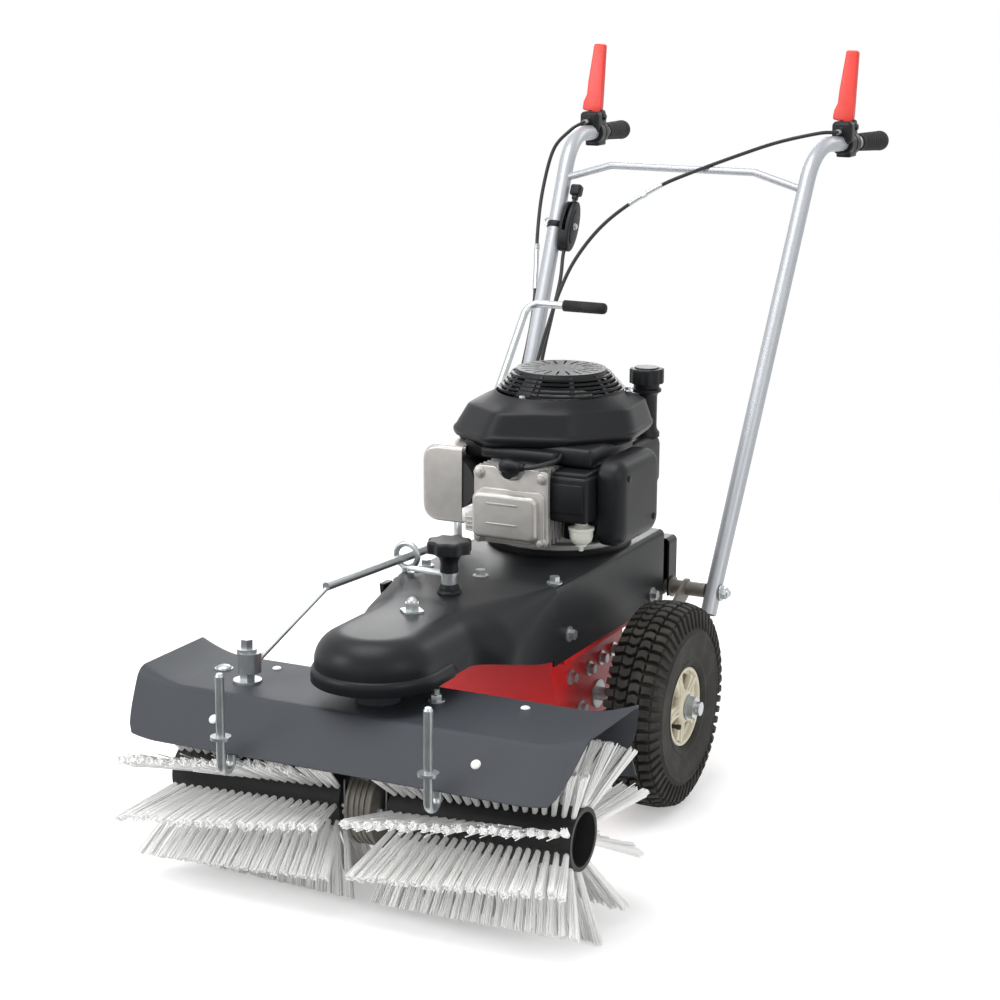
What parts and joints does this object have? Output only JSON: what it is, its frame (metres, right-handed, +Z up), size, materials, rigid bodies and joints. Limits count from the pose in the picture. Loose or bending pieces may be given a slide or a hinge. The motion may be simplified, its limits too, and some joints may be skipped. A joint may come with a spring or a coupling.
{
  "type": "power brush sweeper",
  "caption": "Walk-behind power sweeper with a front roller brush under a swivelling hood, a vertical-shaft engine over a belt drive, two turf tyres and a forked handle",
  "frame": {"origin": "on the floor, in the middle of the outline seen from above", "axes": "+Z up, front towards -Y, +X to the right as seen from the front, as in the picture"},
  "size_m": [0.6784, 1.4682, 1.058],
  "materials": {
    "tyre": "moulded rubber",
    "rim": "moulded cream plastic",
    "zinc": "bright zinc plating",
    "frame_black": "satin black powder coat",
    "case_red": "gloss red enamel",
    "hood_grey": "fine textured powder coat",
    "gear_grey": "painted casting",
    "engine_cast": "as cast",
    "engine_silver": "silver painted sheet",
    "exhaust_dark": "dark heat-proof coat",
    "engine_black": "satin moulded plastic",
    "bowl_white": "pale moulding",
    "brush_core": "moulded plastic",
    "bristle": "white bristle",
    "tube_silver": "silver powder coat",
    "grip": "soft rubber",
    "lever_red": "moulded red plastic",
    "cable": "plastic sheath",
    "screw_white": "white capped screw"
  },
  "bodies": {
    "chassis": {"chassis_box": "frame_black", "rear_cover": "frame_black", "bearing_arm": "frame_black", "transmission_case": "case_red", "axle_bushes": "zinc", "handle_carrier": "tube_silver", "belt_cover": "frame_black", "cover_nut": "zinc", "knob_base": "zinc", "frame_bolts": "zinc", "rod_guide": "zinc", "crankcase": "engine_cast", "valve_cover": "engine_silver", "engine_shroud": "engine_black", "starter_cover": "engine_black", "fuel_tank": "engine_black", "muffler": "exhaust_dark", "muffler_shield": "engine_silver", "air_cleaner": "engine_black", "intake_elbow": "engine_black", "carburettor": "bowl_white", "plug_cap": "engine_black", "plug_lead": "cable", "drive_belt": "cable", "handle_right": "tube_silver", "handle_left": "tube_silver", "cross_bar": "tube_silver", "grips": "grip", "lever_clamps": "engine_black", "throttle_box": "engine_black", "drive_cable": "cable", "clutch_cables": "cable"},
    "crank": {"crankshaft": "zinc", "flywheel": "gear_grey", "engine_pulley": "gear_grey"},
    "wheel_right": {"tyre_right": "tyre", "rim_right": "rim", "axle_right": "zinc"},
    "wheel_left": {"tyre_left": "tyre", "rim_left": "rim", "axle_left": "zinc"},
    "brush_head": {"hood": "hood_grey", "gear_case": "gear_grey", "hook_pins": "zinc", "swivel_lug": "zinc", "hood_screws": "screw_white"},
    "brush_input": {"input_shaft": "zinc", "brush_pulley": "gear_grey"},
    "brush": {"brush_shaft": "zinc", "core_right": "brush_core", "core_left": "brush_core", "bristles_right": "bristle", "bristles_left": "bristle"},
    "swivel_rod": {"swivel_rod": "zinc", "rod_grip": "grip"},
    "hand_lever_right": {"lever_right": "lever_red"},
    "hand_lever_left": {"lever_left": "lever_red"},
    "throttle": {"throttle_lever": "engine_black"},
    "star_knob": {"star_knob": "engine_black"},
    "fuel_cap": {"fuel_cap": "engine_black"}
  },
  "joints": [
    {"name": "wheel_right_spin", "type": "hinge", "parent": "chassis", "child": "wheel_right", "pos_m": [0.197, -0.08255, 0.15], "axis": [1, 0, 0], "continuous": true},
    {"name": "wheel_left_spin", "type": "hinge", "parent": "chassis", "child": "wheel_left", "pos_m": [-0.197, -0.08255, 0.15], "axis": [1, 0, 0], "continuous": true},
    {"name": "head_swivel", "type": "hinge", "parent": "chassis", "child": "brush_head", "pos_m": [0, -0.57855, 0.304], "axis": [0, 0, 1], "range_deg": [-12, 12]},
    {"name": "brush_spin", "type": "hinge", "parent": "brush_head", "child": "brush", "pos_m": [0, -0.57855, 0.13], "axis": [1, 0, 0], "continuous": true},
    {"name": "input_spin", "type": "hinge", "parent": "brush_head", "child": "brush_input", "pos_m": [0, -0.57855, 0.3], "axis": [0, 0, 1], "continuous": true},
    {"name": "rod_slide", "type": "slide", "parent": "chassis", "child": "swivel_rod", "axis": [0, 1, 0], "range_m": [-0.041, 0.041]},
    {"name": "crank_spin", "type": "hinge", "parent": "chassis", "child": "crank", "pos_m": [0, -0.02255, 0.45], "axis": [0, 0, 1], "continuous": true},
    {"name": "lever_right_fold", "type": "hinge", "parent": "chassis", "child": "hand_lever_right", "pos_m": [0.22246, 0.59345, 0.93623], "axis": [1, 0, 0], "range_deg": [-70, 0], "stiffness_Nm_per_rad": 0.5, "springref_deg": 11.46},
    {"name": "lever_left_fold", "type": "hinge", "parent": "chassis", "child": "hand_lever_left", "pos_m": [-0.22246, 0.59345, 0.93623], "axis": [1, 0, 0], "range_deg": [-70, 0], "stiffness_Nm_per_rad": 0.5, "springref_deg": 11.46},
    {"name": "throttle_turn", "type": "hinge", "parent": "chassis", "child": "throttle", "pos_m": [-0.18106, 0.39463, 0.772], "axis": [1, 0, 0], "range_deg": [-35, 35]},
    {"name": "knob_turn", "type": "hinge", "parent": "chassis", "child": "star_knob", "pos_m": [0, -0.37855, 0.4], "axis": [0, 0, 1], "continuous": true},
    {"name": "cap_turn", "type": "hinge", "parent": "chassis", "child": "fuel_cap", "pos_m": [0.077, 0.11745, 0.59], "axis": [0, 0, 1], "continuous": true}
  ],
  "couplings": [
    {"joint": "input_spin", "follows": "brush_spin", "ratio": 3},
    {"joint": "crank_spin", "follows": "brush_spin", "ratio": 4.1667},
    {"joint": "rod_slide", "follows": "head_swivel", "m_per_rad": -0.19}
  ]
}
